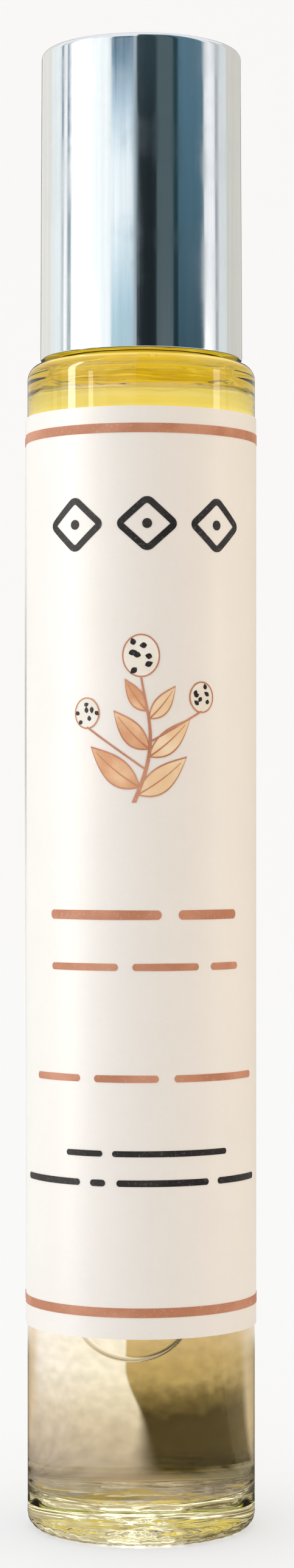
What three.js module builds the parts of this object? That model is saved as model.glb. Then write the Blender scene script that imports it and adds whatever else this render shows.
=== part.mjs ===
// A slim clear-glass bottle of perfume oil with a polished metal cap and a wrap-round paper label.
// Millimetres, +Z up. The origin is the centre of the foot, on the bottle's own axis, and the front faces -Y.
import * as THREE from "three";

// Every round piece is turned with the same facets, so neighbours can lie a fraction of a millimetre apart.
const FACETS = 60;
const FACET_ANGLE = (2 * Math.PI) / FACETS;
const FILLET_STEPS = 4;

// The glass body: a straight tube with a thick base, a rounded heel and a short rounded shoulder.
const BODY_RADIUS = 8;
const WALL = 1.3;
const HEEL_RADIUS = 1;
const FLOOR_THICKNESS = 2.9;
const FLOOR_FILLET = 1.2;
const SHOULDER_HEIGHT = 81.6;
const SHOULDER_FILLET = 1.05;

// The foot stands on a flat ring round a shallow hollow, so that it doesn't rock.
const FOOT_RING_INNER_RADIUS = 5.2;
const PUSH_UP_DEPTH = 0.4;

// The neck is plain, and the cap hides it.
const NECK_RADIUS = 5.6;
const NECK_BORE_RADIUS = 4.3;
const NECK_TOP = 91.5;

// The oil fills the body and most of the neck.
const OIL_CLEARANCE = 0.1;
const OIL_TOP = 89.5;

// The cap is a plain metal cylinder with a slight draft, open below over the neck.
const CAP_HEIGHT = 21.6;
const CAP_SEAT_GAP = 0.3;
const CAP_BOTTOM_RADIUS = 7.1;
const CAP_TOP_RADIUS = 7;
const CAP_TOP_FILLET = 0.4;
const CAP_RIM_FILLET = 0.15;
const CAP_NECK_CLEARANCE = 0.35;
const CAP_HEADROOM = 0.8;

// The label is a paper strip that goes right round the body and over its own start, behind the left side.
const LABEL_BOTTOM = 14.3;
const LABEL_HEIGHT = 63.5;
const LABEL_THICKNESS = 0.1;
const LABEL_CLEARANCE = 0.05;
const LABEL_OVERLAP_FACETS = 2;
const LABEL_EDGE_LIFT = 0.1;
const LABEL_FREE_EDGE_ANGLE = THREE.MathUtils.degToRad(-96);

// One point of a turned outline: a distance from the axis and a height.
const at = (radius, height) => new THREE.Vector2(radius, height);

// A quarter round of an outline, from one angle to another about its centre, in degrees.
function fillet(centreRadius, centreHeight, radius, startDegrees, endDegrees) {
  return Array.from({ length: FILLET_STEPS + 1 }, (_, step) => {
    const angle = THREE.MathUtils.degToRad(
      THREE.MathUtils.lerp(startDegrees, endDegrees, step / FILLET_STEPS),
    );
    return at(
      centreRadius + radius * Math.cos(angle),
      centreHeight + radius * Math.sin(angle),
    );
  });
}

// Turns an outline, which runs from axis to axis, about the upright axis.
function turned(outline) {
  return new THREE.LatheGeometry(outline, FACETS).rotateX(Math.PI / 2);
}

function bottleGeometry() {
  const innerRadius = BODY_RADIUS - WALL;
  const innerShoulder = SHOULDER_HEIGHT - WALL;
  return turned([
    at(0, PUSH_UP_DEPTH),
    at(FOOT_RING_INNER_RADIUS / 2, PUSH_UP_DEPTH * 0.75),
    at(FOOT_RING_INNER_RADIUS, 0),
    ...fillet(BODY_RADIUS - HEEL_RADIUS, HEEL_RADIUS, HEEL_RADIUS, -90, 0),
    ...fillet(
      BODY_RADIUS - SHOULDER_FILLET,
      SHOULDER_HEIGHT - SHOULDER_FILLET,
      SHOULDER_FILLET,
      0,
      90,
    ),
    at(NECK_RADIUS, SHOULDER_HEIGHT),
    at(NECK_RADIUS, NECK_TOP),
    at(NECK_BORE_RADIUS, NECK_TOP),
    at(NECK_BORE_RADIUS, innerShoulder),
    ...fillet(
      innerRadius - SHOULDER_FILLET,
      innerShoulder - SHOULDER_FILLET,
      SHOULDER_FILLET,
      90,
      0,
    ),
    ...fillet(
      innerRadius - FLOOR_FILLET,
      FLOOR_THICKNESS + FLOOR_FILLET,
      FLOOR_FILLET,
      0,
      -90,
    ),
    at(0, FLOOR_THICKNESS),
  ]);
}

function oilGeometry() {
  const radius = BODY_RADIUS - WALL - OIL_CLEARANCE;
  const neckRadius = NECK_BORE_RADIUS - OIL_CLEARANCE;
  const floor = FLOOR_THICKNESS + OIL_CLEARANCE;
  const shoulder = SHOULDER_HEIGHT - WALL - OIL_CLEARANCE;
  return turned([
    at(0, floor),
    ...fillet(radius - FLOOR_FILLET, floor + FLOOR_FILLET, FLOOR_FILLET, -90, 0),
    ...fillet(
      radius - SHOULDER_FILLET,
      shoulder - SHOULDER_FILLET,
      SHOULDER_FILLET,
      0,
      90,
    ),
    at(neckRadius, shoulder),
    at(neckRadius, OIL_TOP),
    at(0, OIL_TOP),
  ]);
}

function capGeometry() {
  const bottom = SHOULDER_HEIGHT + CAP_SEAT_GAP;
  const top = bottom + CAP_HEIGHT;
  const boreRadius = NECK_RADIUS + CAP_NECK_CLEARANCE;
  const boreTop = NECK_TOP + CAP_HEADROOM;
  return turned([
    at(0, boreTop),
    at(boreRadius, boreTop),
    at(boreRadius, bottom),
    ...fillet(
      CAP_BOTTOM_RADIUS - CAP_RIM_FILLET,
      bottom + CAP_RIM_FILLET,
      CAP_RIM_FILLET,
      -90,
      0,
    ),
    ...fillet(
      CAP_TOP_RADIUS - CAP_TOP_FILLET,
      top - CAP_TOP_FILLET,
      CAP_TOP_FILLET,
      0,
      90,
    ),
    at(0, top),
  ]);
}

// The strip's inner radius at a facet counted from its start. It lies on the glass for one turn, climbs over its
// own start in the last facet of that turn, and lifts a little at its free edge.
function labelInnerRadius(facet) {
  const onGlass = BODY_RADIUS + LABEL_CLEARANCE;
  if (facet < FACETS) return onGlass;
  const onPaper = onGlass + LABEL_THICKNESS + LABEL_CLEARANCE;
  const freeEdge = facet === FACETS + LABEL_OVERLAP_FACETS;
  return freeEdge ? onPaper + LABEL_EDGE_LIFT : onPaper;
}

// The strip seen from above, out along its inner face and back along its outer face, extruded up the body.
function labelGeometry() {
  const facets = FACETS + LABEL_OVERLAP_FACETS;
  const startAngle =
    LABEL_FREE_EDGE_ANGLE - LABEL_OVERLAP_FACETS * FACET_ANGLE - Math.PI / 2;
  const point = (facet, offset) => {
    const radius = labelInnerRadius(facet) + offset;
    const angle = startAngle + facet * FACET_ANGLE;
    return at(radius * Math.cos(angle), radius * Math.sin(angle));
  };
  const along = Array.from({ length: facets + 1 }, (_, facet) => facet);
  const inner = along.map((facet) => point(facet, 0));
  const outer = along.map((facet) => point(facet, LABEL_THICKNESS));
  return new THREE.ExtrudeGeometry(new THREE.Shape([...inner, ...outer.reverse()]), {
    depth: LABEL_HEIGHT,
    bevelEnabled: false,
  }).translate(0, 0, LABEL_BOTTOM);
}

const finishes = {
  glass: new THREE.MeshStandardMaterial({
    color: 0xe4ecd9,
    roughness: 0.05,
    metalness: 0,
    transparent: true,
    opacity: 0.35,
  }),
  oil: new THREE.MeshStandardMaterial({
    color: 0xdcb430,
    roughness: 0.1,
    metalness: 0,
  }),
  paper: new THREE.MeshStandardMaterial({
    color: 0xf1e6dc,
    roughness: 0.5,
    metalness: 0,
  }),
  metal: new THREE.MeshStandardMaterial({
    color: 0xd3d8dc,
    roughness: 0.1,
    metalness: 1,
  }),
};

const pieces = [
  ["bottle", bottleGeometry(), finishes.glass],
  ["oil", oilGeometry(), finishes.oil],
  ["label", labelGeometry(), finishes.paper],
  ["cap", capGeometry(), finishes.metal],
];

const group = new THREE.Group();
for (const [name, geometry, material] of pieces) {
  const mesh = new THREE.Mesh(geometry, material);
  mesh.name = name;
  group.add(mesh);
}

export default group;
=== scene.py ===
# %% [markdown]
# # A slim glass bottle of perfume oil
# This lesson dresses a finished construction model. The construction says how large each piece is and where
# it stands, and Blender adds what the eye sees: real glass, oil that colours the light, printed paper and
# polished metal. The first line loads the construction, and everything after it is measured from there.

# %% Load the construction model
import math
import random

import bmesh
import bpy
from mathutils import Matrix, Vector, noise


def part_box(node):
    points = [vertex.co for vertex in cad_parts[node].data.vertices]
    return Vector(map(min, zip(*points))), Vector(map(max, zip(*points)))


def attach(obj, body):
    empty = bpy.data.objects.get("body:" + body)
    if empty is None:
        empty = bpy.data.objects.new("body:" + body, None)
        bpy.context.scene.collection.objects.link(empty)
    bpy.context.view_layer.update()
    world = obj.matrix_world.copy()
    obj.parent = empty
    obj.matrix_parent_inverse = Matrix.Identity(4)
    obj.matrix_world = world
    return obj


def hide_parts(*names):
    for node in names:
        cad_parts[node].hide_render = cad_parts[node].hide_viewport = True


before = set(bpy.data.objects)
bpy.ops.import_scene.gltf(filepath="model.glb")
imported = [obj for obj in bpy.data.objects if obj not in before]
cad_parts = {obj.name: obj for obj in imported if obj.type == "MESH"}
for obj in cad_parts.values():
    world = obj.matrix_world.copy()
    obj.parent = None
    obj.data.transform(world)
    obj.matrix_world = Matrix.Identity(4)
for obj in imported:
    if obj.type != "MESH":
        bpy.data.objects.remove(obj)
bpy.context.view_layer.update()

print("nodes:", ", ".join(sorted(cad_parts)))

# %% [markdown]
# ## Sizes
# A bottle like this is round, so a few radii and heights say nearly everything. The ones that the
# construction already knows are read from its boxes. Only what a box can't say, such as the wall of the
# glass, is written here, in metres through MM so that the numbers stay readable.

# %% Driving sizes
MM = 0.001
body_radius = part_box("bottle")[1].x
neck_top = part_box("bottle")[1].z
cap_bottom, cap_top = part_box("cap")[0].z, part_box("cap")[1].z
cap_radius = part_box("cap")[1].x
label_bottom, label_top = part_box("label")[0].z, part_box("label")[1].z
oil_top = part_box("oil")[1].z

cap_seat_gap = 0.3 * MM
shoulder_height = cap_bottom - cap_seat_gap
wall = 1.3 * MM
floor_thickness = 2.9 * MM
print("body", round(body_radius / MM, 2), "mm radius,", round(shoulder_height / MM, 2), "mm to the shoulder")

# %% [markdown]
# ## Turning a shape
# Glass bottles, oil and caps are all turned shapes: half an outline, spun round the axis. The outline is a
# chain of a few corner points. Rounding a corner is a vertex bevel, which leaves a true arc, and spinning
# the chain with use_merge closes the last step onto the first. A full outline starts and ends on the axis,
# so the poles close when the doubles merge.

# %% A helper that turns an outline of (radius, height, rounding) corners
TURN_STEPS = 192
ARC_STEPS = 8
WELD = 0.0005 * MM


def turned(corners, steps=TURN_STEPS, fine=()):
    """fine lists stretches of height whose edges are cut until none is longer than a given length."""
    shape = bmesh.new()
    chain = [shape.verts.new((radius, 0, height)) for radius, height, _ in corners]
    for start, end in zip(chain, chain[1:]):
        shape.edges.new((start, end))
    for corner, (_, _, rounding) in zip(chain, corners):
        if rounding:
            bmesh.ops.bevel(
                shape, geom=[corner], offset=rounding, offset_type="OFFSET", segments=ARC_STEPS,
                profile=0.5, affect="VERTICES", material=-1)
    for low, high, longest in fine:
        inside = [
            edge for edge in shape.edges
            if edge.calc_length() > longest
            and all(low - WELD < end.co.z < high + WELD for end in edge.verts)]
        for edge in inside:
            bmesh.ops.subdivide_edges(shape, edges=[edge], cuts=int(edge.calc_length() / longest))
    bmesh.ops.spin(
        shape, geom=shape.verts[:] + shape.edges[:], cent=(0, 0, 0), axis=(0, 0, 1),
        angle=math.tau, steps=steps, use_merge=True)
    bmesh.ops.remove_doubles(shape, verts=shape.verts, dist=WELD)
    bmesh.ops.recalc_face_normals(shape, faces=shape.faces)
    return shape


# %% [markdown]
# ## Finishing a piece
# Every piece ends the same way: its mesh becomes an object at the origin, it shades smooth except over
# sharp edges, and it rides on the body that carries it. A Weighted Normal modifier keeps the long straight
# walls truly straight to the light, because a reflection shows the smallest tilt next to a rounded corner.
# Every piece also joins one collection, which the lights will be linked to.

# %% A helper that finishes a piece
SHARP_ANGLE = math.radians(40)
lit_pieces = bpy.data.collections.new("lit_pieces")


def finish_piece(name, shape, material, replaces=()):
    mesh = bpy.data.meshes.new(name)
    shape.to_mesh(mesh)
    loose = sum(len(edge.link_faces) != 2 for edge in shape.edges)
    shape.free()
    mesh.materials.append(material)
    mesh.shade_smooth()
    mesh.set_sharp_from_angle(angle=SHARP_ANGLE)
    piece = bpy.data.objects.new(name, mesh)
    bpy.context.scene.collection.objects.link(piece)
    lit_pieces.objects.link(piece)
    straight = piece.modifiers.new("straight_walls", "WEIGHTED_NORMAL")
    straight.keep_sharp = True
    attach(piece, "root")
    if replaces:
        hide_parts(*replaces)
    print(f"{name}: {len(mesh.polygons)} faces, {loose} open edges")


# %% [markdown]
# ## The camera
# The bottle was seen from close by, about 22 cm away, with the eye a little below its middle. That is why
# its foot curves down and its cap curves up. The picture is tall and narrow, so the sensor's width lies
# along the long side.

# %% Camera
PICTURE_WIDTH, PICTURE_HEIGHT = 483, 2576
EYE_DISTANCE = 224 * MM
EYE_HEIGHT = 50 * MM
FOCAL_PIXELS = 5220
EYE_LEVEL_Y = 1338
AXIS_X = 232
SENSOR = 36

camera_data = bpy.data.cameras.new("camera")
camera_data.sensor_width = SENSOR
camera_data.lens = SENSOR * FOCAL_PIXELS / PICTURE_HEIGHT
camera_data.shift_x = (PICTURE_WIDTH / 2 - AXIS_X) / PICTURE_HEIGHT
camera_data.shift_y = (EYE_LEVEL_Y - PICTURE_HEIGHT / 2) / PICTURE_HEIGHT
camera_data.clip_start = 0.01
camera = bpy.data.objects.new("camera", camera_data)
camera.location = (0, -EYE_DISTANCE, EYE_HEIGHT)
camera.rotation_euler = (math.radians(90), 0, 0)
bpy.context.scene.collection.objects.link(camera)
bpy.context.scene.camera = camera
print("lens", round(camera_data.lens, 2), "mm, shift", round(camera_data.shift_y, 4))

# %% [markdown]
# ## Building materials with nodes
# A material is a small graph of nodes. A few helpers keep the graphs short. The first three add a node with
# its settings, start a material whose Principled shader already has its plain values, and start a node
# group.

# %% Helpers that start a node, a material and a group


def add_node(tree, kind, inputs=(), **settings):
    node = tree.nodes.new(kind)
    for key, value in settings.items():
        setattr(node, key, value)
    for key, value in dict(inputs).items():
        if isinstance(value, bpy.types.NodeSocket):
            tree.links.new(value, node.inputs[key])
        else:
            node.inputs[key].default_value = value
    return node


def new_material(name, **values):
    material = bpy.data.materials.new(name)
    material.use_nodes = True
    shader = material.node_tree.nodes["Principled BSDF"]
    for key, value in values.items():
        shader.inputs[key.replace("_", " ")].default_value = value
    return material, material.node_tree, shader


def new_group(name, inputs, outputs):
    group = bpy.data.node_groups.new(name, "ShaderNodeTree")
    for label, kind, value in inputs:
        socket = group.interface.new_socket(label, in_out="INPUT", socket_type=kind)
        socket.default_value = value
    for label, kind in outputs:
        group.interface.new_socket(label, in_out="OUTPUT", socket_type=kind)
    print(f"{name}: {len(inputs)} inputs, {len(outputs)} outputs")
    return group, group.nodes.new("NodeGroupInput").outputs, group.nodes.new("NodeGroupOutput").inputs


# %% [markdown]
# ## Patterns from numbers
# Nearly every pattern here is made in the same way. A place on the object goes into a noise, the noise
# gives a number, a range stretches that number, and a ramp turns it into a colour. Each of these steps is
# one helper.

# %% Helpers for places, numbers and colours


def object_place(tree):
    return add_node(tree, "ShaderNodeTexCoord").outputs["Object"]


def parts_of(tree, place):
    return add_node(tree, "ShaderNodeSeparateXYZ", {0: place}).outputs


def stretched(tree, place, factors):
    """Squeezes a pattern by a factor along each axis, so a small factor draws it out."""
    return add_node(tree, "ShaderNodeVectorMath", {0: place, 1: factors}, operation="MULTIPLY").outputs[0]


def noise_at(tree, place, fineness, detail=3.0, roughness=0.6):
    node = add_node(
        tree, "ShaderNodeTexNoise",
        {"Vector": place, "Scale": fineness, "Detail": detail, "Roughness": roughness})
    return node.outputs["Fac"]


def math_node(tree, operation, *values):
    return add_node(tree, "ShaderNodeMath", dict(enumerate(values)), operation=operation).outputs[0]


def map_range(tree, value, low, high, to_low=0.0, to_high=1.0, soft=True):
    """Stretches one range onto another. A soft one eases in and out, and stops at its ends."""
    kind = "SMOOTHSTEP" if soft else "LINEAR"
    node = add_node(
        tree, "ShaderNodeMapRange", {"Value": value, 1: low, 2: high, 3: to_low, 4: to_high},
        interpolation_type=kind, clamp=soft)
    return node.outputs["Result"]


def mix_colour(tree, share, first, second, blend="MIX"):
    node = add_node(
        tree, "ShaderNodeMix", {0: share, 6: first, 7: second}, data_type="RGBA", blend_type=blend)
    return node.outputs[2]


def colour_ramp(tree, share, stops):
    """stops are (position, colour) pairs, and the colour between two of them is a blend."""
    ramp = add_node(tree, "ShaderNodeValToRGB", {"Fac": share})
    elements = ramp.color_ramp.elements
    for element, (position, colour) in zip(elements, (stops[0], stops[-1])):
        element.position = position
        element.color = (*colour, 1)
    for position, colour in stops[1:-1]:
        elements.new(position).color = (*colour, 1)
    return ramp.outputs["Color"]


# %% [markdown]
# ## A stage for glass and metal
# Glass and polished metal have hardly any colour of their own: they show the room. So the room is built
# with care. Blender can let an object be met by some kinds of light path only, such as the camera's own,
# reflections, or light that comes through glass. That is how a card can colour a reflection and still stay
# out of the picture. One helper makes every object of the stage, and is told which paths meet it.

# %% Helpers for the objects of the stage
PATH_KINDS = ("camera", "diffuse", "glossy", "transmission", "shadow")


def stage_object(name, shape, material, seen_by):
    mesh = bpy.data.meshes.new(name)
    shape.to_mesh(mesh)
    shape.free()
    mesh.materials.append(material)
    mesh.shade_smooth()
    screen = bpy.data.objects.new(name, mesh)
    bpy.context.scene.collection.objects.link(screen)
    for kind in PATH_KINDS:
        setattr(screen, "visible_" + kind, kind in seen_by)
    print(f"{name}: met by {', '.join(seen_by)} paths")


def glowing(name, colour=(1, 1, 1), strength=1.0):
    """A material that only gives light, with its graph and the socket for its colour."""
    material, tree, shader = new_material(name)
    tree.nodes.remove(shader)
    glow = add_node(tree, "ShaderNodeEmission", {"Color": (*colour, 1), "Strength": strength})
    tree.links.new(glow.outputs[0], tree.nodes["Material Output"].inputs["Surface"])
    return material, tree, glow.inputs["Color"]


# %% [markdown]
# ## Floor and wall
# The floor is a wide pale disc whose rim curves up into a wall, so that no horizon shows from any side. It
# gives a little light of its own, and on the bottle's right that light is warm, as from a wooden room. The
# warmth is only for light that has already left something matt, so it tints the paper and stays off the
# backdrop itself.

# %% Floor and wall in one bowl
BOWL_RADIUS = 2.5
BOWL_HEIGHT = 2.2
BOWL_BEND = 1.2
ROUND_STEPS = 64
WARM_SIDE = (-50 * MM, 350 * MM)
PALE_LIGHT = (1.13, 1.15, 1.17, 1)
WARM_LIGHT = (0.70, 0.38, 0.05, 1)

backdrop, backdrop_tree, backdrop_shader = new_material(
    "pale_backdrop", Base_Color=(0.5, 0.5, 0.5, 1), Roughness=1, Specular_IOR_Level=0, Emission_Strength=0.45)
backdrop_parts = parts_of(backdrop_tree, object_place(backdrop_tree))
backdrop_side = map_range(backdrop_tree, backdrop_parts["X"], *WARM_SIDE)
backdrop_bounced = add_node(backdrop_tree, "ShaderNodeLightPath").outputs["Is Diffuse Ray"]
backdrop_warmth = math_node(backdrop_tree, "MULTIPLY", backdrop_side, backdrop_bounced)
backdrop_tree.links.new(
    mix_colour(backdrop_tree, backdrop_warmth, PALE_LIGHT, WARM_LIGHT),
    backdrop_shader.inputs["Emission Color"])
backdrop.cycles.emission_sampling = "NONE"
bowl = turned([(0, 0, 0), (BOWL_RADIUS, 0, BOWL_BEND), (BOWL_RADIUS, BOWL_HEIGHT, 0)], ROUND_STEPS)
stage_object("floor", bowl, backdrop, PATH_KINDS)

# %% [markdown]
# ## Lights
# A large soft light stands at the front left, as a window would, and a weaker warm one at the right. They
# are linked to the pieces of the bottle alone, so they shape the paper without leaving pools of light on
# the floor. Glass and metal don't show them: what those show is built below.

# %% Soft lights
LIGHTS = {
    "window_left": dict(place=(-0.95, -0.15, 0.4), width=0.6, height=0.8, watts=3.6, colour=(1, 0.99, 0.97)),
    "warm_right": dict(place=(0.9, -0.3, 0.25), width=0.4, height=0.6, watts=2.3, colour=(1, 0.9, 0.76)),
}
AIM = Vector((0, 0, 50 * MM))
for name, setup in LIGHTS.items():
    data = bpy.data.lights.new(name, "AREA")
    data.shape = "RECTANGLE"
    data.size, data.size_y = setup["width"], setup["height"]
    data.energy = setup["watts"]
    data.color = setup["colour"]
    light = bpy.data.objects.new(name, data)
    light.location = setup["place"]
    light.rotation_euler = (AIM - light.location).to_track_quat("-Z", "Y").to_euler()
    light.visible_camera = False
    light.visible_glossy = False
    light.visible_transmission = False
    light.light_linking.receiver_collection = lit_pieces
    bpy.context.scene.collection.objects.link(light)
print("lights:", ", ".join(LIGHTS))

# %% The light of the room itself
ROOM_COLOUR, ROOM_STRENGTH = (0.96, 0.98, 1.0, 1), 0.95
world = bpy.data.worlds.new("pale_room")
world.use_nodes = True
world_light = world.node_tree.nodes["Background"]
world_light.inputs["Color"].default_value = ROOM_COLOUR
world_light.inputs["Strength"].default_value = ROOM_STRENGTH
bpy.context.scene.world = world
print("room light:", ROOM_STRENGTH)

# %% [markdown]
# ## Cards round the bottle
# A polished cylinder squeezes the whole room into upright bands. To get clear bands, curved cards stand
# round the bottle as a photographer would put them: bright ones at the sides, and dark ones in front. The
# dark front ones are tall, because the top of the cap mirrors far up. Narrow bright windows stand a little
# nearer than the rest. Each card lists its colours by height, in mm, and only reflections meet it.

# %% Cards: name, bearings from the front in degrees, heights in mm, strength, colours by height
CARDS = [
    ("blue_front_left", -34, -9, 0, 220, 1.0, [
        (104, (0.42, 0.60, 0.68)), (106, (0.56, 0.74, 0.80)), (109, (0.36, 0.57, 0.69)),
        (115, (0.72, 0.90, 0.98)), (121, (1.00, 1.05, 1.06)), (130, (0.92, 1.02, 1.05)),
        (134, (0.58, 0.76, 0.88)), (138, (0.26, 0.42, 0.56)), (141, (0.08, 0.14, 0.20))]),
    ("grey_edge", -9, -5, 0, 220, 1.0, [(120, (0.42, 0.50, 0.54))]),
    ("near_black", -5, 17, 0, 600, 1.0, [(132, (0.014, 0.02, 0.024)), (140, (0.03, 0.055, 0.065))]),
    ("dark_grey", 17, 36, 0, 600, 1.0, [(106, (0.11, 0.145, 0.16)), (114, (0.085, 0.125, 0.138))]),
    ("black_gap", 36, 42, 0, 600, 1.0, [(106, (0.012, 0.03, 0.04)), (126, (0.02, 0.05, 0.06))]),
    ("slate_blue", 42, 75, 0, 600, 1.0, [
        (104, (0.045, 0.09, 0.12)), (116, (0.065, 0.13, 0.17)), (130, (0.075, 0.165, 0.225)),
        (140, (0.10, 0.19, 0.25))]),
    ("white_right", 75, 92, 0, 220, 0.98, [(120, (1, 1, 1))]),
    ("grey_gap_right", 92, 97, 0, 220, 1.0, [(120, (0.35, 0.37, 0.4))]),
    ("pale_right", 97, 113, 0, 220, 1.0, [(120, (0.74, 0.78, 0.78))]),
    ("warm_grey_right", 113, 166, 0, 220, 1.0, [(120, (0.68, 0.66, 0.6))]),
    ("dark_back", 166, 196, 0, 220, 1.0, [(120, (0.05, 0.055, 0.06))]),
    ("warm_grey_left", 196, 238, 0, 220, 1.0, [(120, (0.85, 0.83, 0.78))]),
    ("white_far_left", 238, 258, 0, 220, 1.0, [(120, (0.9, 0.95, 0.95))]),
    ("grey_gap_left", 258, 262, 0, 220, 1.0, [(112, (0.5, 0.56, 0.6)), (134, (0.16, 0.24, 0.32))]),
    ("white_mid_left", 262, 268, 0, 220, 1.1, [(120, (1, 1, 1))]),
    ("blue_gap_left", 268, 274, 0, 220, 1.0, [(112, (0.34, 0.42, 0.44)), (134, (0.10, 0.17, 0.24))]),
    ("white_left", 274, 302, 0, 220, 1.25, [(120, (0.98, 1, 1))]),
    ("pale_left", 302, 326, 0, 220, 1.1, [(120, (0.96, 1.0, 1.0))]),
]
WINDOWS = [
    ("tall_window", 283, 292, 0, 220, 11.0, [(120, (1, 0.98, 0.95))]),
    ("short_window", 307, 312, 40, 101, 6.0, [(120, (1, 0.98, 0.9))]),
    ("window_right", 76, 84, 40, 102, 4.0, [(120, (1, 0.98, 0.92))]),
]
print(len(CARDS), "cards and", len(WINDOWS), "windows")

# %% [markdown]
# ## The colours and the shape of a card
# The height picks the colour from the card's ramp. An upright streaky noise first shifts that height a
# little and then shades the colour, so that the bands in the metal look brushed and not printed. A card's
# shape is an upright edge, spun through a part of a turn.

# %% Helpers for a card
CARD_STEPS_PER_DEGREE = 1 / 3
RAMP_LOW, RAMP_HIGH = 100.0, 145.0
STREAK_FACTORS = (280, 280, 7)
STREAK_SHIFT = 16.0
STREAK_SHADE = 0.1
MIDDLE_NOISE = (0.35, 0.65)


def streaked_card(name, stops, strength):
    material, tree, colour = glowing(name, strength=strength)
    place = object_place(tree)
    streak = noise_at(tree, stretched(tree, place, STREAK_FACTORS), 1.0, detail=4.0)
    height = math_node(tree, "DIVIDE", parts_of(tree, place)["Z"], MM)
    shift = map_range(tree, streak, 0.0, 1.0, -STREAK_SHIFT / 2, STREAK_SHIFT / 2, soft=False)
    share = map_range(tree, math_node(tree, "ADD", height, shift), RAMP_LOW, RAMP_HIGH, soft=False)
    tone = colour_ramp(tree, share, [((at - RAMP_LOW) / (RAMP_HIGH - RAMP_LOW), tint) for at, tint in stops])
    shade = map_range(tree, streak, *MIDDLE_NOISE, 1 - STREAK_SHADE, 1 + STREAK_SHADE, soft=False)
    tree.links.new(mix_colour(tree, 1.0, tone, shade, blend="MULTIPLY"), colour)
    return material


def curved_card(start, end, low, high, distance):
    card = bmesh.new()
    foot = card.verts.new((0, -distance, low))
    head = card.verts.new((0, -distance, high))
    card.edges.new((foot, head))
    bmesh.ops.rotate(
        card, verts=card.verts, cent=(0, 0, 0), matrix=Matrix.Rotation(math.radians(start), 3, "Z"))
    steps = max(2, int((end - start) * CARD_STEPS_PER_DEGREE))
    bmesh.ops.spin(
        card, geom=card.verts[:] + card.edges[:], cent=(0, 0, 0), axis=(0, 0, 1),
        angle=math.radians(end - start), steps=steps)
    return card


# %% Put up the cards and the windows
CARD_DISTANCE = 160 * MM
WINDOW_DISTANCE = 155 * MM
for distance, cards in ((CARD_DISTANCE, CARDS), (WINDOW_DISTANCE, WINDOWS)):
    for name, start, end, low, high, strength, stops in cards:
        card = curved_card(start, end, low * MM, high * MM, distance)
        stage_object("card_" + name, card, streaked_card(name, stops, strength), ["glossy"])

# %% [markdown]
# ## What shows through the glass
# A filled bottle is a strong lens: through it the eye sees the room behind, turned round. Photographers use
# that, and stand coloured boards behind the liquid. These boards are met only by light that comes through
# glass. The thick base has no oil in it, and should sparkle more than the oil does, so each board answers
# light from the base and light from the oil in its own way. The Light Path node tells them apart by
# counting the surfaces crossed.

# %% Helpers for the boards
CROSSINGS_WITHOUT_OIL = 4.5
THROUGH_GLASS = ["transmission"]
# glowing flecks, whose bright ones the glass base shows as painted glints
GLINT_FLECKS = [
    (0.00, (0.12, 0.09, 0.04)), (0.38, (0.20, 0.15, 0.06)), (0.44, (0.52, 0.43, 0.24)),
    (0.57, (0.66, 0.55, 0.34)), (0.63, (1.60, 1.50, 1.05)), (1.00, (1.60, 1.50, 1.05))]


def through_oil(tree):
    """1 for light that has crossed the oil, and 0 for light that has crossed only glass."""
    crossings = add_node(tree, "ShaderNodeLightPath").outputs["Transmission Depth"]
    return math_node(tree, "GREATER_THAN", crossings, CROSSINGS_WITHOUT_OIL)


def bearing_behind(tree, parts):
    """In degrees: 0 is straight behind the bottle, and it grows towards the right."""
    return math_node(tree, "MULTIPLY", math_node(tree, "ARCTAN2", parts["X"], parts["Y"]), math.degrees(1))


def weakened(tree, value, calm):
    """Centres a noise on 0, and weakens it by a factor that may change from place to place."""
    return math_node(tree, "MULTIPLY", math_node(tree, "SUBTRACT", value, 0.5), calm)


# %% [markdown]
# ## A golden bowl far round the bottle
# The shoulder and the neck look out over the label at the upper part of this bowl, so it is gold there. The
# base looks at its lower part, which is khaki with bright and dark flecks, and the bright ones are painted
# glints for the base. A noise makes the flecks, and the bearing decides where they are darker, brighter or
# calmer.

# %% The bowl's gold, and its flecks low down
GOLD_TOP = 170 * MM
GOLD_START = (58 * MM, 66 * MM)
GOLD_BANDS = [
    (0.00, (0.74, 0.55, 0.08)), (0.48, (0.74, 0.55, 0.08)), (0.55, (0.96, 0.80, 0.24)),
    (1.00, (0.96, 0.80, 0.24))]
CALM_FLECKS = [
    (0.00, (0.05, 0.04, 0.03)), (0.36, (0.10, 0.08, 0.07)), (0.44, (0.34, 0.29, 0.30)),
    (0.50, (0.48, 0.42, 0.45)), (0.60, (0.70, 0.62, 0.72)), (0.70, (1.00, 0.95, 1.10)),
    (1.00, (1.00, 0.95, 1.10))]

# from one bearing in degrees to another, a value goes from the third number to the fourth
CALMER_RIGHT = (5.0, 20.0, 1.0, 0.3)
DARKER_LEFT = (-24.0, -7.0, -0.11, 0.0)
BRIGHTER_MIDDLE = (4.0, 18.0, 0.06, 0.0)
BRIGHTER_RIGHT = (4.0, 22.0, 0.5, 0.57)
GOLD_FINENESS = 60.0

gold, gold_tree, gold_colour = glowing("gold_glow")
gold_place = object_place(gold_tree)
gold_parts = parts_of(gold_tree, gold_place)
gold_bearing = bearing_behind(gold_tree, gold_parts)
gold_middle = math_node(gold_tree, "ABSOLUTE", gold_bearing)
gold_calm = map_range(gold_tree, gold_bearing, *CALMER_RIGHT)
gold_noise = weakened(gold_tree, noise_at(gold_tree, gold_place, GOLD_FINENESS), gold_calm)
for gold_shift in (
        map_range(gold_tree, gold_bearing, *DARKER_LEFT),
        map_range(gold_tree, gold_middle, *BRIGHTER_MIDDLE),
        map_range(gold_tree, gold_bearing, *BRIGHTER_RIGHT)):
    gold_noise = math_node(gold_tree, "ADD", gold_noise, gold_shift)
gold_flecks = mix_colour(
    gold_tree, through_oil(gold_tree),
    colour_ramp(gold_tree, gold_noise, GLINT_FLECKS), colour_ramp(gold_tree, gold_noise, CALM_FLECKS))
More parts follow.
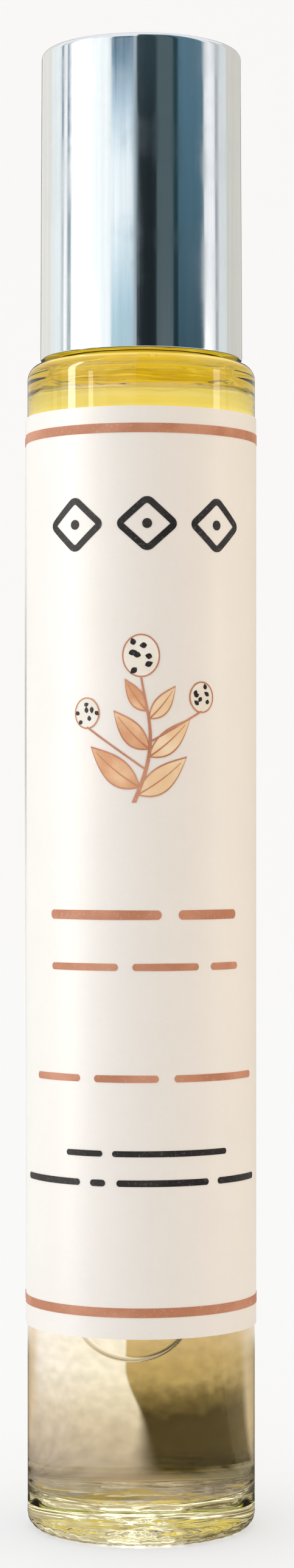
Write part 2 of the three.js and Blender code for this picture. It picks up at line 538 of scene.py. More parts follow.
gold_bands = colour_ramp(gold_tree, map_range(gold_tree, gold_parts["Z"], 0.0, GOLD_TOP), GOLD_BANDS)
gold_start = map_range(gold_tree, gold_parts["Z"], *GOLD_START)
gold_tree.links.new(mix_colour(gold_tree, gold_start, gold_flecks, gold_bands), gold_colour)
print("gold_glow:", len(gold_tree.nodes), "nodes")

# %% The bowl, and a deeper golden band near the shoulder
GOLD_INNER, GOLD_OUTER, GOLD_BEND = 115 * MM, 150 * MM, 30 * MM
GOLD_FOOT = 0.3 * MM
gold_bowl = turned(
    [(GOLD_INNER, GOLD_FOOT, 0), (GOLD_OUTER, GOLD_FOOT, GOLD_BEND), (GOLD_OUTER, GOLD_TOP, 0)], ROUND_STEPS)
stage_object("gold_bowl", gold_bowl, gold, THROUGH_GLASS)

# the rounded shoulder bends the light down, so it looks at this band, a little below its own height
FENCE_RADIUS = 60 * MM
FENCE_LOW, FENCE_HIGH = 50 * MM, 74 * MM
FENCE_BEARINGS = (110, 250)
FENCE_LIGHT = (0.86, 0.57, 0.03)
fence = curved_card(*FENCE_BEARINGS, FENCE_LOW, FENCE_HIGH, FENCE_RADIUS)
stage_object("gold_fence", fence, glowing("fence_light", FENCE_LIGHT)[0], THROUGH_GLASS)

# %% [markdown]
# ## A shaded board on the floor, for the foot
# Below the label the oil shows the floor behind the bottle, turned left for right: a pale side and a dark
# side, with an edge between them that is sharp far away and soft close by. A ramp along the distance gives
# each side its tones, and the bearing decides between the two. Both ramps turn dark next to the bottle, which
# is a painted contact shadow. Past two bearings the board takes rim tones of its own, which tint the foot's
# two edges with painted light and shade. The noise runs over bearing and distance, so that its clouds keep
# their size through the lens.

# %% The board's clouds
CLOUD_TURN = math.radians(1.8)
CLOUD_ACROSS, CLOUD_AWAY = 9.0, 0.19
CLOUD_DRIFT = 1.9
CLOUD_RANGE = (0.3, 0.7)

board, board_tree, board_colour = glowing("board_glow")
board_place = object_place(board_tree)
board_parts = parts_of(board_tree, board_place)
board_bearing = bearing_behind(board_tree, board_parts)
board_length = add_node(board_tree, "ShaderNodeVectorMath", {0: board_place}, operation="LENGTH")
board_distance = math_node(board_tree, "DIVIDE", board_length.outputs["Value"], MM)
cloud_turn = math_node(board_tree, "SINE", math_node(board_tree, "MULTIPLY", board_bearing, CLOUD_TURN))
cloud_place = add_node(board_tree, "ShaderNodeCombineXYZ", {
    0: math_node(board_tree, "MULTIPLY", cloud_turn, CLOUD_ACROSS),
    1: math_node(board_tree, "MULTIPLY", board_distance, CLOUD_AWAY)}).outputs[0]
cloud = noise_at(board_tree, cloud_place, 1.0, detail=4.0, roughness=0.4)
print("clouds:", len(board_tree.nodes), "nodes so far")

# %% The board's two sides, by the distance as a share of its reach
BOARD_REACH = 80.0
# both ramps turn dark right next to the bottle: a painted contact shadow on the board
PALE_SIDE = [
    (0.00, (0.20, 0.17, 0.14)), (0.07, (0.30, 0.26, 0.24)), (0.18, (0.44, 0.38, 0.42)),
    (0.28, (0.52, 0.46, 0.58)), (0.40, (0.64, 0.58, 0.72)), (0.52, (0.77, 0.71, 0.88)),
    (0.66, (0.95, 0.92, 1.20)), (0.82, (1.12, 1.12, 1.55)), (1.00, (1.12, 1.12, 1.55))]
DARK_SIDE = [
    (0.00, (0.05, 0.04, 0.02)), (0.10, (0.20, 0.18, 0.14)), (0.16, (0.33, 0.30, 0.27)),
    (0.20, (0.24, 0.21, 0.18)), (0.25, (0.012, 0.010, 0.006)), (0.54, (0.008, 0.007, 0.004)),
    (0.65, (0.16, 0.12, 0.062)), (0.76, (0.50, 0.38, 0.23)), (1.00, (0.64, 0.48, 0.32))]
# rim tones past two bearings: painted light and shade along the foot's two edges
RIMS = [((-38.0, -50.0), (0.72, 0.6, 0.56, 1)), ((42.0, 56.0), (0.93, 0.78, 0.86, 1))]

# from one distance in mm to another, the edge's bearing and its softness go from one value to another
EDGE_BEARING = (40.0, 68.0, -0.3, 3.9)
EDGE_BLUR = (26.0, 52.0, 2.6, 0.45)
CLOUD_SHADE = (0.9, 1.08)

cloud_drift = map_range(board_tree, cloud, *CLOUD_RANGE, -CLOUD_DRIFT, CLOUD_DRIFT, soft=False)
board_share = math_node(
    board_tree, "DIVIDE", math_node(board_tree, "ADD", board_distance, cloud_drift), BOARD_REACH)
edge_bearing = map_range(board_tree, board_distance, *EDGE_BEARING)
edge_blur = map_range(board_tree, board_distance, *EDGE_BLUR)
past_edge = math_node(board_tree, "SUBTRACT", board_bearing, edge_bearing)
past_edge = math_node(board_tree, "DIVIDE", past_edge, edge_blur)
board_sides = mix_colour(
    board_tree, map_range(board_tree, past_edge, -1.0, 1.0),
    colour_ramp(board_tree, board_share, DARK_SIDE), colour_ramp(board_tree, board_share, PALE_SIDE))
for rim_range, rim_colour in RIMS:
    board_rim = map_range(board_tree, board_bearing, *rim_range)
    board_sides = mix_colour(board_tree, board_rim, board_sides, rim_colour)
cloud_shade = map_range(board_tree, cloud, *CLOUD_RANGE, *CLOUD_SHADE, soft=False)
board_sides = mix_colour(board_tree, 1.0, board_sides, cloud_shade, blend="MULTIPLY")
print("both sides:", len(board_tree.nodes), "nodes so far")

# %% [markdown]
# ## Painted glints for the base
# Light that has crossed only the base meets small glowing flecks under and behind the bottle, brightest in
# the middle. These are painted glints, and the knurled foot breaks them up into glitter. In front and at the
# sides the board stays dark for it, because the front wall would mirror the flecks over the oil.

# %% The board's painted glints, and the board itself
GLITTER_FINENESS = 1500.0
GLITTER_MIDDLE = -0.5 * MM
GLITTER_CALM = (-5.0 * MM, -1.5 * MM, 0.3, 1.0)
GLITTER_BRIGHT = (1.0 * MM, 5.0 * MM, 0.59, 0.42)
GLITTER_UNDER, GLITTER_BEHIND = (8.0, 9.0, 1.0, 0.0), (9 * MM, 12 * MM)
GLITTER_OFF = (0.05, 0.042, 0.02, 1)
BOARD_HEIGHT = 0.2 * MM

glitter_aside = math_node(
    board_tree, "ABSOLUTE", math_node(board_tree, "SUBTRACT", board_parts["X"], GLITTER_MIDDLE))
glitter_calm = map_range(board_tree, board_parts["X"], *GLITTER_CALM)
# the board's flecks glow, and the base shows them as painted glints
glitter_noise = noise_at(board_tree, board_place, GLITTER_FINENESS, detail=2.0)
glitter = math_node(
    board_tree, "ADD", weakened(board_tree, glitter_noise, glitter_calm),
    map_range(board_tree, glitter_aside, *GLITTER_BRIGHT))
glitter_here = math_node(
    board_tree, "MAXIMUM", map_range(board_tree, board_distance, *GLITTER_UNDER),
    map_range(board_tree, board_parts["Y"], *GLITTER_BEHIND))
board_base = mix_colour(board_tree, glitter_here, GLITTER_OFF, colour_ramp(board_tree, glitter, GLINT_FLECKS))
board_tree.links.new(mix_colour(board_tree, through_oil(board_tree), board_base, board_sides), board_colour)
board_shape = turned([(0, BOARD_HEIGHT, 0), (GOLD_INNER, BOARD_HEIGHT, 0)], ROUND_STEPS)
stage_object("foot_board", board_shape, board, THROUGH_GLASS)

# %% [markdown]
# ## A dark card on the floor, for what the foot mirrors
# The outside of the glass also mirrors the floor in front of it. A dark card there keeps the foot clear.
# The cap should mirror a pale floor all the same, so the card turns pale for light that has come from as
# far as the cap.

# %% Dark card on the floor
FLOOR_CARD_RADIUS, FLOOR_CARD_HEIGHT = 140 * MM, 0.1 * MM
FOOT_REACH, CAP_REACH = 70 * MM, 90 * MM
FLOOR_DARK, FLOOR_PALE = (0.12, 0.1, 0.07, 1), (0.9, 0.9, 0.88, 1)
floor_card, floor_tree, floor_colour = glowing("floor_card_light")
floor_way = add_node(floor_tree, "ShaderNodeLightPath").outputs["Ray Length"]
floor_tree.links.new(
    mix_colour(floor_tree, map_range(floor_tree, floor_way, FOOT_REACH, CAP_REACH), FLOOR_DARK, FLOOR_PALE),
    floor_colour)
floor_shape = turned([(0, FLOOR_CARD_HEIGHT, 0), (FLOOR_CARD_RADIUS, FLOOR_CARD_HEIGHT, 0)], ROUND_STEPS)
stage_object("floor_card", floor_shape, floor_card, ["glossy"])

# %% [markdown]
# ## Light in the neck and behind the label
# In the real thing the neck is full of pale plastic, and the back of the label is white paper. Oil in front
# of both glows golden. Inside the bottle the glow of a mottled disc under the neck stands for the first,
# and that of a thin sleeve just behind the paper for the second.

# %% Glow under the neck, and behind the paper
INSIDE_PATHS = ["glossy", "transmission"]
NECK_DISC_RADIUS, NECK_DISC_HEIGHT = 6.9 * MM, 81.3 * MM
SLEEVE_GAP, SLEEVE_MARGIN = 0.004 * MM, 0.1 * MM
SLEEVE_LIGHT = (1.1, 0.92, 0.3)
NECK_FINENESS = 420.0
NECK_GOLD = [
    (0.00, (0.14, 0.09, 0.01)), (0.34, (0.26, 0.16, 0.01)), (0.42, (0.60, 0.37, 0.01)),
    (0.58, (0.72, 0.47, 0.02)), (0.66, (0.92, 0.70, 0.06)), (1.00, (0.92, 0.70, 0.06))]
neck_light, neck_tree, neck_colour = glowing("neck_light")
neck_noise = noise_at(neck_tree, object_place(neck_tree), NECK_FINENESS)
neck_tree.links.new(colour_ramp(neck_tree, neck_noise, NECK_GOLD), neck_colour)
neck_disc = turned([(0, NECK_DISC_HEIGHT, 0), (NECK_DISC_RADIUS, NECK_DISC_HEIGHT, 0)], ROUND_STEPS)
stage_object("neck_glow", neck_disc, neck_light, INSIDE_PATHS)
sleeve_radius = body_radius + SLEEVE_GAP
sleeve = turned([
    (sleeve_radius, label_bottom + SLEEVE_MARGIN, 0), (sleeve_radius, label_top - SLEEVE_MARGIN, 0)])
stage_object("sleeve_glow", sleeve, glowing("sleeve_light", SLEEVE_LIGHT)[0], INSIDE_PATHS)

# %% [markdown]
# ## An effect for several materials: soft waves
# Blown or moulded glass is never quite flat, and neither is a pressed metal cap. A slow noise, turned into
# a bump, bends the reflections a little. It is a node group, so that each material sets its own fineness
# and depth.

# %% Node group: soft waves
WAVE_RELIEF = 0.1 * MM
waves, waves_in, waves_out = new_group(
    "soft_waves",
    [("Fineness", "NodeSocketFloat", 200.0), ("Stretch", "NodeSocketVector", (1, 1, 1)),
     ("Depth", "NodeSocketFloat", 0.1)],
    [("Normal", "NodeSocketVector")])
waves_place = stretched(waves, object_place(waves), waves_in["Stretch"])
waves_noise = noise_at(waves, waves_place, waves_in["Fineness"], detail=2.0, roughness=0.5)
waves_bump = add_node(
    waves, "ShaderNodeBump", {"Height": waves_noise, "Strength": waves_in["Depth"], "Distance": WAVE_RELIEF})
waves.links.new(waves_bump.outputs["Normal"], waves_out["Normal"])

# %% [markdown]
# ## An effect for paper and ink: paper grain
# Label paper is pressed fibre under a thin satin coat. Seen close, it is a little mottled, and it shines a
# little unevenly. The inks lie on the same fibres, so they use the same group with their own values.

# %% Node group: paper grain
CLOUD_FINENESS = 260.0
COLOUR_SWING, ROUGHNESS_SWING = 5.0, 3.0
FIBRE_RELIEF = 0.02 * MM
paper_grain, grain_in, grain_out = new_group(
    "paper_grain",
    [("Colour", "NodeSocketColor", (0.8, 0.8, 0.8, 1)), ("Mottle", "NodeSocketFloat", 0.02),
     ("Fibre Fineness", "NodeSocketFloat", 2200.0), ("Roughness", "NodeSocketFloat", 0.45),
     ("Depth", "NodeSocketFloat", 0.2)],
    [("Colour", "NodeSocketColor"), ("Roughness", "NodeSocketFloat"), ("Normal", "NodeSocketVector")])
grain_place = object_place(paper_grain)
grain_fibre = add_node(
    paper_grain, "ShaderNodeTexNoise",
    {"Vector": grain_place, "Scale": grain_in["Fibre Fineness"], "Detail": 5.0, "Roughness": 0.65,
     "Distortion": 1.5})
grain_cloud = noise_at(paper_grain, grain_place, CLOUD_FINENESS, roughness=0.5)
grain_swing = math_node(paper_grain, "ADD", grain_fibre.outputs["Fac"], grain_cloud)
grain_swing = math_node(paper_grain, "SUBTRACT", grain_swing, 1.0)
grain_swing = math_node(paper_grain, "MULTIPLY", grain_swing, grain_in["Mottle"])
grain_shade = math_node(paper_grain, "MULTIPLY", grain_swing, COLOUR_SWING)
grain_shade = math_node(paper_grain, "ADD", grain_shade, 1.0)
paper_grain.links.new(
    mix_colour(paper_grain, 1.0, grain_in["Colour"], grain_shade, blend="MULTIPLY"), grain_out["Colour"])
grain_rough = math_node(paper_grain, "MULTIPLY", grain_swing, ROUGHNESS_SWING)
paper_grain.links.new(
    math_node(paper_grain, "ADD", grain_rough, grain_in["Roughness"]), grain_out["Roughness"])
grain_bump = add_node(
    paper_grain, "ShaderNodeBump",
    {"Height": grain_fibre.outputs["Fac"], "Strength": grain_in["Depth"], "Distance": FIBRE_RELIEF})
paper_grain.links.new(grain_bump.outputs["Normal"], grain_out["Normal"])

# %% [markdown]
# ## An effect for the inks: ink cover
# Print is never one flat tone. A wash runs from a darker to a lighter ink, and here and there a fibre stays
# bare. The group takes both tones, how fine the wash is and how much stays bare.

# %% Node group: ink cover
FLECK_FINENESS = 5200.0
WASH_RANGE, BARE_RANGE = (0.36, 0.64), (0.56, 0.7)
ink_cover, cover_in, cover_out = new_group(
    "ink_cover",
    [("Ink", "NodeSocketColor", (0.5, 0.5, 0.5, 1)), ("Light Ink", "NodeSocketColor", (0.6, 0.6, 0.6, 1)),
     ("Paper", "NodeSocketColor", (0.8, 0.8, 0.8, 1)), ("Wash Fineness", "NodeSocketFloat", 300.0),
     ("Bare", "NodeSocketFloat", 0.1)],
    [("Colour", "NodeSocketColor")])
cover_place = object_place(ink_cover)
cover_wash = noise_at(ink_cover, cover_place, cover_in["Wash Fineness"], detail=2.0, roughness=0.5)
cover_tone = mix_colour(
    ink_cover, map_range(ink_cover, cover_wash, *WASH_RANGE), cover_in["Ink"], cover_in["Light Ink"])
cover_fleck = noise_at(ink_cover, cover_place, FLECK_FINENESS, detail=2.0)
cover_bare = map_range(ink_cover, cover_fleck, *BARE_RANGE)
cover_bare = math_node(ink_cover, "MULTIPLY", cover_bare, cover_in["Bare"])
ink_cover.links.new(mix_colour(ink_cover, cover_bare, cover_tone, cover_in["Paper"]), cover_out["Colour"])

# %% [markdown]
# ## The glass
# The bottle is one turned piece of clear glass: a thick base, a rounded heel, a straight wall, a short
# shoulder and a neck under the cap. The base has a shallow hollow underneath, and its inner floor dips
# towards the wall, as moulded glass does. A little absorption in the volume gives the thick base its pale
# green, where the thin wall stays clear.

# %% Glass material
GLASS_IOR = 1.5


def tint_inside(tree, colour, density):
    """Takes a little of the light away for each bit of its way through the material."""
    tint = add_node(tree, "ShaderNodeVolumeAbsorption", {"Color": (*colour, 1), "Density": density})
    tree.links.new(tint.outputs[0], tree.nodes["Material Output"].inputs["Volume"])


glass, glass_tree, glass_shader = new_material(
    "clear_glass", Base_Color=(1, 1, 1, 1), Roughness=0.01, IOR=GLASS_IOR, Transmission_Weight=1)
glass_waves = add_node(
    glass_tree, "ShaderNodeGroup",
    {"Fineness": 260.0, "Stretch": (1, 1, 0.5), "Depth": 0.06}, node_tree=waves)
glass_tree.links.new(glass_waves.outputs["Normal"], glass_shader.inputs["Normal"])
tint_inside(glass_tree, (0.88, 0.95, 0.8), 30.0)
print("clear_glass:", len(glass_tree.nodes), "nodes")

# %% The hollow that glass and oil share
NECK_BORE = 4.3 * MM
BORE_START, BORE_ROUND = 0.35 * MM, 0.3 * MM
SHOULDER_DROP, INNER_ROUND = 0.1 * MM, 1.9 * MM
FLOOR_DISH, FLOOR_ROUND = 0.4 * MM, 0.9 * MM
DIP_SHARE, DIP_ROUND = 0.45, 1.5 * MM
BUBBLE_LOW, BUBBLE_SEEN, BUBBLE_TOP = 12 * MM, 16.2 * MM, 21 * MM
inner_radius = body_radius - wall
inner_shoulder = shoulder_height - wall
print("inside:", round(inner_radius / MM, 2), "mm radius,", round(inner_shoulder / MM, 2), "mm high")


def cavity(reach):
    """The outline of the hollow, from its top down to its floor. reach pushes it into the glass."""
    return [
        (NECK_BORE + reach, inner_shoulder + BORE_START + reach, BORE_ROUND),
        (inner_radius + reach, inner_shoulder + reach - SHOULDER_DROP, INNER_ROUND),
        (inner_radius + reach, BUBBLE_TOP, 0),
        (inner_radius + reach, BUBBLE_SEEN, 0),
        (inner_radius + reach, BUBBLE_LOW, 0),
        (inner_radius + reach, floor_thickness - FLOOR_DISH / 2 - reach, FLOOR_ROUND),
        (inner_radius * DIP_SHARE, floor_thickness - FLOOR_DISH / 4 - reach, DIP_ROUND),
        (0, floor_thickness + FLOOR_DISH / 2 - reach, 0),
    ]


# %% [markdown]
# ## Uneven glass
# Glass sets in a mould with a skin that is a little wavy, and the thick base magnifies that into glints. So
# the inner floor, the inner shoulder and the hollow underneath each get a soft wave or two: a noise that
# lifts the points. A wave is three values: how fine it is, how deep, and where in the noise it starts. The
# hollow also has uneven ribs that run outwards, and the ring that the bottle stands on is knurled, as
# bottles are, so that it grips.

# %% Helpers for uneven glass
SHOULDER_WAVE = (650, 0.12 * MM, Vector((5, 2, 9)))
FLOOR_WAVE = (420, 0.09 * MM, Vector((3, 1, 7)))
FLOOR_RIPPLE = (1300, 0.02 * MM, Vector((1, 8, 2)))
FLOOR_EDGE = (5.4 * MM, 6.6 * MM)
SHOULDER_TOP = inner_shoulder + 0.4 * MM
SHOULDER_EDGE = (inner_shoulder - 2.5 * MM, inner_shoulder - 1.0 * MM)
SHOULDER_INNER, SHOULDER_OUTER = NECK_BORE + 0.1 * MM, inner_radius + 0.06 * MM
FINE_TOP = floor_thickness + 1.5 * MM
FLOOR_LOW = floor_thickness - 1.1 * MM


def smooth_step(low, high, value):
    share = min(1, max(0, (value - low) / (high - low)))
    return share * share * (3 - 2 * share)


def wave_at(place, wave):
    fineness, depth, start = wave
    return depth * noise.noise(place * fineness + start)


def uneven_inside(shape):
    for point in shape.verts:
        reach = point.co.xy.length
        if point.co.z < SHOULDER_TOP and SHOULDER_INNER < reach < SHOULDER_OUTER:
            lift = smooth_step(*SHOULDER_EDGE, point.co.z)
            point.co.z += lift * wave_at(point.co, SHOULDER_WAVE)
        if FLOOR_LOW < point.co.z < FINE_TOP and reach < inner_radius:
            fade = 1 - smooth_step(*FLOOR_EDGE, reach)
            point.co.z += fade * wave_at(point.co, FLOOR_WAVE)
            point.co.z += fade * wave_at(point.co, FLOOR_RIPPLE)


# %% A helper for the ribs and the knurls of the foot
HEEL = 1.0 * MM
HOLLOW_WAVE = (500, 0.1 * MM, Vector((9, 4, 2)))
HOLLOW_RIPPLE = (1100, 0.05 * MM, Vector((4, 7, 5)))
HOLLOW_EDGE = (3.6 * MM, 4.8 * MM)
RIBS, RIB_DEPTH = 11, 0.05 * MM
RIBS_START, RIBS_END = (1.0 * MM, 3.0 * MM), (4.2 * MM, 4.9 * MM)
KNURLS, KNURL_DEPTH = 44, 0.05 * MM
RING_START, RING_END = (4.2 * MM, 5.2 * MM), (7.0 * MM, 7.6 * MM)
HEEL_START = (6.9 * MM, 7.3 * MM)


def uneven_foot(shape):
    for point in shape.verts:
        reach = point.co.xy.length
        if point.co.z > HEEL or reach > body_radius - WELD:
            continue
        fade = 1 - smooth_step(*HOLLOW_EDGE, reach)
        point.co.z += fade * wave_at(point.co, HOLLOW_WAVE)
        point.co.z += fade * wave_at(point.co, HOLLOW_RIPPLE)
        around = point.co.normalized() * RIBS
        rib = smooth_step(*RIBS_START, reach) * (1 - smooth_step(*RIBS_END, reach))
        point.co.z += rib * RIB_DEPTH * noise.noise(Vector((around.x, around.y, 0)))
        ring = smooth_step(*RING_START, reach) * (1 - smooth_step(*RING_END, reach))
        groove = KNURL_DEPTH * (1 - math.cos(KNURLS * math.atan2(point.co.y, point.co.x))) / 2
        point.co.z += ring * groove
        heel = smooth_step(*HEEL_START, reach) * (1 - smooth_step(HEEL / 2, HEEL, point.co.z))
        point.co.xy *= 1 - heel * groove / max(reach, MM)


# %% Glass body
GLASS_STEPS = 352
FINE = 0.3 * MM
SHOULDER_ROUND = 1.05 * MM
NECK_RADIUS, NECK_FILLET = 5.6 * MM, 0.4 * MM
LIP = 0.4 * MM
PUSH_UP, PUSH_UP_FLAT, PUSH_UP_BEND = 0.4 * MM, 4.0 * MM, 0.6 * MM
RING_INNER, RING_BEND = 5.2 * MM, 0.3 * MM
bottle_shape = turned([
    (0, PUSH_UP, 0),
    (PUSH_UP_FLAT, PUSH_UP, PUSH_UP_BEND),
    (RING_INNER, 0, RING_BEND),
    (body_radius, 0, HEEL),
    (body_radius, shoulder_height, SHOULDER_ROUND),
    (NECK_RADIUS, shoulder_height, NECK_FILLET),
    (NECK_RADIUS, neck_top, LIP),
    (NECK_BORE, neck_top, LIP),
    *cavity(0),
], steps=GLASS_STEPS, fine=[(0, FINE_TOP, FINE)])
uneven_inside(bottle_shape)
uneven_foot(bottle_shape)
finish_piece("glass_bottle", bottle_shape, glass, ["bottle"])

# %% [markdown]
# ## The oil
# Oil has no surface colour at all. It is clear, and it takes blue out of the light on the way through, so a
# longer way looks deeper. That is what Volume Absorption does. The oil's shape reaches just into the glass
# wall, because a gap would show as a silver film of air.

# %% Oil material
OIL_IOR = 1.47
oil, oil_tree, _ = new_material(
    "golden_oil", Base_Color=(1, 1, 1, 1), Roughness=0.0, IOR=OIL_IOR, Transmission_Weight=1)
tint_inside(oil_tree, (0.985, 0.84, 0.0), 52.0)
print("golden_oil:", len(oil_tree.nodes), "nodes")

# %% [markdown]
# ## A flat bubble behind the front wall
# A little air is trapped in the oil, flat against the glass, and the lower half of its round edge shows
# under the label. The oil's wall is cut into fine rows there, and the points inside the bubble's outline
# are pushed back from the glass. They go back steeply at the edge and level out further in.

# %% Oil body
WALL_REACH = 0.05 * MM
BUBBLE_BEARING, BUBBLE_HEIGHT = math.radians(-5.7), 16.4 * MM
BUBBLE_HALF = (4.16 * MM, 3.7 * MM)
BUBBLE_DEPTH = 0.11 * MM
BUBBLE_STEEPNESS = 1.4
BUBBLE_ROWS, HIDDEN_ROWS = 0.07 * MM, 0.5 * MM


def press_bubble(shape):
    for point in shape.verts:
        reach = point.co.xy.length
        if reach < inner_radius or not BUBBLE_LOW - WELD < point.co.z < BUBBLE_TOP:
            continue
        bearing = math.atan2(point.co.x, -point.co.y)
        across = (bearing - BUBBLE_BEARING) * inner_radius / BUBBLE_HALF[0]
        up = (point.co.z - BUBBLE_HEIGHT) / BUBBLE_HALF[1]
        inside = (1 - math.hypot(across, up)) * min(BUBBLE_HALF)
        if inside > 0:
            depth = BUBBLE_DEPTH * (1 - math.exp(-BUBBLE_STEEPNESS * inside / BUBBLE_DEPTH))
            point.co.xy *= (reach - depth) / reach


fine_rows = [
    (0, FINE_TOP, FINE), (BUBBLE_LOW, BUBBLE_SEEN, BUBBLE_ROWS), (BUBBLE_SEEN, BUBBLE_TOP, HIDDEN_ROWS)]
oil_shape = turned(
    [(0, oil_top, 0), (NECK_BORE + WALL_REACH, oil_top, 0), *cavity(WALL_REACH)],
    steps=GLASS_STEPS, fine=fine_rows)
uneven_inside(oil_shape)
press_bubble(oil_shape)
finish_piece("oil_fill", oil_shape, oil, ["oil"])

# %% [markdown]
# ## The cap
# The cap is a thin metal shell, polished until it mirrors the room. Its side has a slight draft, its top
# edge is rounded by less than half a millimetre, and its lower rim is turned in. The drawing of the metal
# leaves upright streaks, which a noise squeezed sideways gives, and fingers leave soft duller clouds. Both
# only touch the roughness and, a little, the colour.

# %% Cap material
DRAWN_FACTORS = (2600, 2600, 70)
SMUDGE_FINENESS = 160.0
SMUDGE_RANGE = (0.45, 0.7, 0.0, 0.35)
DULL_ROUGHNESS = (0.3, 1.0, 0.08, 0.2)
DULL_TONES = [(0.3, (0.88, 0.9, 0.92)), (0.9, (0.8, 0.82, 0.84))]
metal, metal_tree, metal_shader = new_material("polished_metal", Metallic=1)
metal_waves = add_node(
    metal_tree, "ShaderNodeGroup",
    {"Fineness": 420.0, "Stretch": (1, 1, 0.12), "Depth": 0.05}, node_tree=waves)
metal_tree.links.new(metal_waves.outputs["Normal"], metal_shader.inputs["Normal"])

metal_place = object_place(metal_tree)
metal_streaks = noise_at(metal_tree, stretched(metal_tree, metal_place, DRAWN_FACTORS), 1.0)
metal_smudge = noise_at(metal_tree, metal_place, SMUDGE_FINENESS, detail=4.0)
metal_smudge = map_range(metal_tree, metal_smudge, *SMUDGE_RANGE)
metal_dull = math_node(metal_tree, "ADD", metal_streaks, metal_smudge)
metal_tree.links.new(map_range(metal_tree, metal_dull, *DULL_ROUGHNESS), metal_shader.inputs["Roughness"])
metal_tree.links.new(colour_ramp(metal_tree, metal_dull, DULL_TONES), metal_shader.inputs["Base Color"])
print("polished_metal:", len(metal_tree.nodes), "nodes")

# %% Cap body
CAP_DRAFT = 0.1 * MM
CAP_EDGE = 0.4 * MM
CAP_RIM = 0.15 * MM
CAP_CLEARANCE, CAP_HEADROOM = 0.35 * MM, 0.8 * MM
CAP_BORE = NECK_RADIUS + CAP_CLEARANCE
CAP_BORE_TOP, CAP_BORE_ROUND = neck_top + CAP_HEADROOM, 0.3 * MM
cap_shape = turned([
    (0, CAP_BORE_TOP, 0),
    (CAP_BORE, CAP_BORE_TOP, CAP_BORE_ROUND),
    (CAP_BORE, cap_bottom, CAP_RIM),
    (cap_radius, cap_bottom, CAP_RIM),
    (cap_radius - CAP_DRAFT, cap_top, CAP_EDGE),
    (0, cap_top, 0),
])
finish_piece("metal_cap", cap_shape, metal, ["cap"])

# %% [markdown]
# ## The label
# The label is one paper strip that goes right round the glass and over its own start, behind the left side.
# A flat grid is the paper. Each of its points is then carried onto the bottle: the way along the strip
# becomes a bearing, and the radius grows where the strip climbs over its start.

# %% Where the strip lies
PAPER = 0.09 * MM
PAPER_LIFT = 0.12 * MM
PAPER_GLUE = 0.01 * MM
PAPER_REACH = 0.1 * MM
label_outer = body_radius + PAPER_REACH
FREE_EDGE_BEARING = math.radians(264)
OVERLAP = math.radians(12)
CLIMB = math.radians(5)
LIFT_WIDTH = math.radians(7)
LIFT_HEIGHT = 57 * MM
LIFT_REACH = 16 * MM
start_bearing = FREE_EDGE_BEARING - math.tau - OVERLAP
print("the strip overlaps itself by", round(OVERLAP * label_outer / MM, 1), "mm")


def paper_radius(bearing, height):
    over_start = smooth_step(-CLIMB, 0, bearing - start_bearing - math.tau)
    free = smooth_step(-LIFT_WIDTH, 0, bearing - FREE_EDGE_BEARING)
    bulge = math.exp(-((height - LIFT_HEIGHT) / LIFT_REACH) ** 2)
    return label_outer + over_start * (PAPER + PAPER_GLUE) + free * bulge * PAPER_LIFT


def on_bottle(bearing, radius, height):
    """A bearing of 0 is the front, and it grows towards the right as seen from the front."""
    return Vector((radius * math.sin(bearing), -radius * math.cos(bearing), height))


# %% Helpers for a strip that goes round
ALONG = 320


def strip_round(start, low, high, rows, lift=0):
    """A grid from a bearing to the strip's free edge, and from one height to another."""
    strip = bmesh.new()
    # a size of 0.5 makes a grid that runs from -0.5 to 0.5, so adding 0.5 gives a share from 0 to 1
    bmesh.ops.create_grid(strip, x_segments=ALONG, y_segments=rows, size=0.5)
    for point in strip.verts:
        bearing = start + (point.co.x + 0.5) * (FREE_EDGE_BEARING - start)
        height = low + (point.co.y + 0.5) * (high - low)
        point.co = on_bottle(bearing, paper_radius(bearing, height) + lift, height)
    return strip


def thicken_inwards(strips, thickness):
    """Turns every face away from the axis, and gives the strips their thickness."""
    strips.normal_update()
    inward = [
        face for face in strips.faces
        if face.normal.dot(face.calc_center_median() * Vector((1, 1, 0))) < 0]
    bmesh.ops.reverse_faces(strips, faces=inward)
    bmesh.ops.solidify(strips, geom=strips.faces[:], thickness=thickness)


# %% Paper material
PAPER_COLOUR = (0.8, 0.77, 0.735, 1)


def finish_like_paper(tree, shader, values):
    """Puts the paper grain into a material with its own values, and feeds the shader from it."""
    finish = add_node(tree, "ShaderNodeGroup", values, node_tree=paper_grain)
    for output, socket in (("Colour", "Base Color"), ("Roughness", "Roughness"), ("Normal", "Normal")):
        tree.links.new(finish.outputs[output], shader.inputs[socket])


paper, paper_tree, paper_shader = new_material("label_paper", Coat_Weight=0.25, Coat_Roughness=0.3)
finish_like_paper(
    paper_tree, paper_shader, {"Colour": PAPER_COLOUR, "Mottle": 0.012, "Roughness": 0.46, "Depth": 0.25})
print("label_paper:", len(paper_tree.nodes), "nodes")

# %% Paper strip
PAPER_ROWS = 48
paper_shape = strip_round(start_bearing, label_bottom, label_top, PAPER_ROWS)
thicken_inwards(paper_shape, PAPER)
finish_piece("label_strip", paper_shape, paper, ["label"])

# %% [markdown]
# ## Inks
# Four inks and one pale wash make the print. They share the paper's fibres and the cover group, so one
# helper builds them all. Ink is duller than the coated paper, so it has no coat and less gloss.

# %% Ink materials


def ink_material(name, ink, light_ink, wash=300.0, bare=0.12):
    material, tree, shader = new_material(name, Specular_IOR_Level=0.25)
    cover = add_node(tree, "ShaderNodeGroup", {
        "Ink": (*ink, 1), "Light Ink": (*light_ink, 1), "Paper": PAPER_COLOUR,
        "Wash Fineness": wash, "Bare": bare}, node_tree=ink_cover)
    finish_like_paper(
        tree, shader,
        {"Colour": cover.outputs["Colour"], "Mottle": 0.02, "Roughness": 0.55, "Depth": 0.2})
    return material


